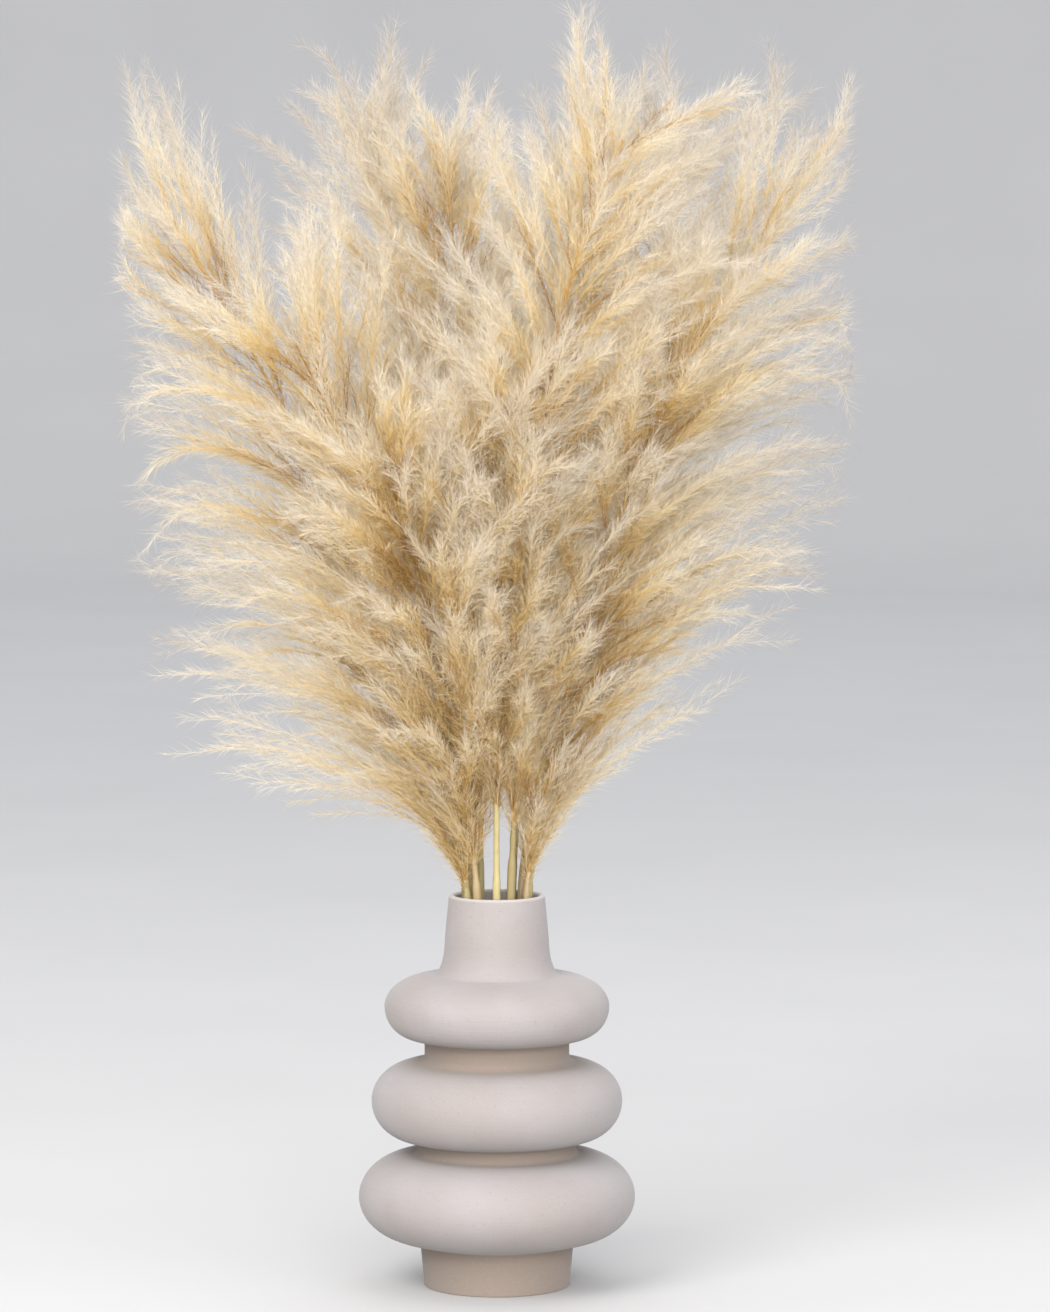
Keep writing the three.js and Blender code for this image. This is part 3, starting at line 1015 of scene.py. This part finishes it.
# %% The hair finish
# The core colours are painted shade deep in a plume; the few more golden branches take them too.
CORE_BROWN = from_screen(196, 158, 88)
CORE_GOLD = from_screen(240, 219, 160)
BODY_CREAM = from_screen(251, 245, 232)
EDGE_PALE = from_screen(224, 216, 206)
EDGE_WHITE = from_screen(209, 203, 200)
SILK_STOPS = [
    (0.04, CORE_BROWN),
    (0.24, CORE_GOLD),
    (0.5, BODY_CREAM),
    (0.76, EDGE_PALE),
    (0.95, EDGE_WHITE),
]
TIP_PALER = 0.16  # how much a hair's own tip is paler than its root
TONE_SHIFT = 0.06
LET_THROUGH = 0.66


def silk():
    finish = Finish("silky_hair")
    place = finish.node("ShaderNodeUVMap", {"uv_map": "OFBake"})
    tone, along, _ = finish.apart(place)
    colour = finish.ramp(tone + along * TIP_PALER - TONE_SHIFT, SILK_STOPS)
    inputs = {"Base Color": colour, "Roughness": 0.62, "Specular IOR Level": 0.2}
    surface = finish.node("ShaderNodeBsdfPrincipled", {}, inputs)
    through = finish.node("ShaderNodeBsdfTranslucent", {}, {"Color": colour})
    inputs = {0: LET_THROUGH, 1: surface, 2: through}
    return finish.done(finish.node("ShaderNodeMixShader", {}, inputs))


# %% Dress every plume
HAIRS = 36000  # on one plume
WORKING_LAYERS = ("tone", "along", "side", "girth", "fluff", "flare", "main")
dressing = dressing_tree()
silky = silk()
items = dressing.interface.items_tree
sockets = {item.name: item.identifier for item in items if item.in_out == "INPUT"}
for i in range(STALKS):
    lines, length = lines_mesh(i)
    work = bpy.data.objects.new(lines.name, lines)
    bpy.context.scene.collection.objects.link(work)
    modifier = work.modifiers.new("dress", "NODES")
    modifier.node_group = dressing
    modifier[sockets["Spacing"]] = length / HAIRS
    modifier[sockets["Seed"]] = 10 * i
    modifier[sockets["Finish"]] = silky
    ready = work.evaluated_get(bpy.context.evaluated_depsgraph_get())
    plume_mesh = bpy.data.meshes.new_from_object(ready)
    bpy.data.objects.remove(work)
    for name in WORKING_LAYERS:
        if name in plume_mesh.attributes:
            plume_mesh.attributes.remove(plume_mesh.attributes[name])
    print(f"plume {i + 1}: {length:.1f} m of twigs, {length / HAIRS * 1000:.2f} mm between hairs")
    hand_over(f"silky_plume_{i + 1:02d}", plume_mesh, silky, f"plume_{i + 1:02d}")

# %% [markdown]
# ## The stage
#
# The floor is a wide pale dish: flat under the vase, and curved up far away on every side, so that
# no view of the piece shows a horizon. A big soft light from the upper left and a weaker one from
# the right model the shapes, a broad one from the front opens up the depths of the plumes, and a
# last one from behind makes their edges glow.

# %% Floor and backdrop
DISH_FLAT = 7.0  # radius of the flat floor
DISH_BEND = 2.5  # radius of the curve from the floor up into the rim
DISH_SIDES = 96
DISH_STEPS = 16
PAINT = from_screen(178, 177, 176)
PAINT_SHADE = from_screen(172, 171, 170)


def dish():
    mesh = bpy.data.meshes.new("dish_mesh")
    bends = np.linspace(0, math.pi / 2, DISH_STEPS + 1)
    profile = [(DISH_FLAT + DISH_BEND * math.sin(a), DISH_BEND * (1 - math.cos(a))) for a in bends]
    turns = 2 * math.pi * np.arange(DISH_SIDES) / DISH_SIDES
    spots = [(r * math.cos(a), r * math.sin(a), z) for r, z in profile for a in turns]
    faces = [tuple(range(DISH_SIDES))]
    for row in range(len(profile) - 1):
        for k in range(DISH_SIDES):
            near = (k + 1) % DISH_SIDES
            first = row * DISH_SIDES
            second = first + DISH_SIDES
            faces.append((first + near, first + k, second + k, second + near))
    mesh.from_pydata(spots, [], faces)
    mesh.shade_smooth()
    floor = bpy.data.objects.new("pale_floor", mesh)
    bpy.context.scene.collection.objects.link(floor)
    finish = Finish("pale_paint")
    grain = finish.noise(finish.place(), 3.0, 3.0)
    colour = finish.mix(grain, PAINT, PAINT_SHADE)
    inputs = {"Base Color": colour, "Roughness": 0.8, "Specular IOR Level": 0.1}
    mesh.materials.append(finish.done(finish.node("ShaderNodeBsdfPrincipled", {}, inputs)))


dish()
print("the floor is flat for", DISH_FLAT, "m round the vase")


# %% Lights
def soft_light(name, place, target, size, watts, colour):
    data = bpy.data.lights.new(name, "AREA")
    data.shape = "RECTANGLE"
    data.size, data.size_y = size
    data.energy = watts
    data.color = colour
    light = bpy.data.objects.new(name, data)
    light.location = place
    light.rotation_euler = (Vector(target) - Vector(place)).to_track_quat("-Z", "Y").to_euler()
    light.visible_camera = False
    bpy.context.scene.collection.objects.link(light)
    print(f"light: {name}, {watts} W")


MIDDLE = (0.0, 0.0, 0.5)
AIR_COLOUR = (0.93, 0.95, 1.0, 1.0)
AIR_STRENGTH = 1.38
soft_light("window", (-1.7, -2.6, 2.5), MIDDLE, (2.0, 2.0), 125, (1.0, 0.985, 0.96))
soft_light("fill", (1.9, -2.9, 1.6), MIDDLE, (2.6, 2.6), 55, (0.97, 0.98, 1.0))
soft_light("front", (0.3, -4.8, 1.2), MIDDLE, (2.6, 2.6), 290, (1.0, 0.99, 0.975))
soft_light("glow", (0.3, 1.5, 2.2), (0.0, 0.0, 0.6), (2.2, 1.2), 10, (1.0, 0.99, 0.97))
world = bpy.data.worlds.new("studio_air")
world.use_nodes = True
air = world.node_tree.nodes["Background"]
air.inputs["Color"].default_value = AIR_COLOUR
air.inputs["Strength"].default_value = AIR_STRENGTH
bpy.context.scene.world = world
bpy.context.scene.view_settings.view_transform = "Standard"

# %% [markdown]
# ## The camera
#
# A long lens from about four metres, a little above the middle of the plumes and looking slightly
# down, so that the back of the vase's mouth just shows over its front.

# %% Camera
CAMERA_PLACE = (0.020, -4.115, 0.789)
CAMERA_TARGET = (0.020, 0.0, 0.450)
CAMERA_LENS = 160
CAMERA_SENSOR = 36
camera_data = bpy.data.cameras.new("camera")
camera_data.lens = CAMERA_LENS
camera_data.sensor_width = CAMERA_SENSOR
camera_data.sensor_fit = "AUTO"
camera = bpy.data.objects.new("camera", camera_data)
camera.location = CAMERA_PLACE
heading = Vector(CAMERA_TARGET) - Vector(CAMERA_PLACE)
camera.rotation_euler = heading.to_track_quat("-Z", "Y").to_euler()
bpy.context.scene.collection.objects.link(camera)
bpy.context.scene.camera = camera
print("the camera looks from", round(heading.length, 3), "m")
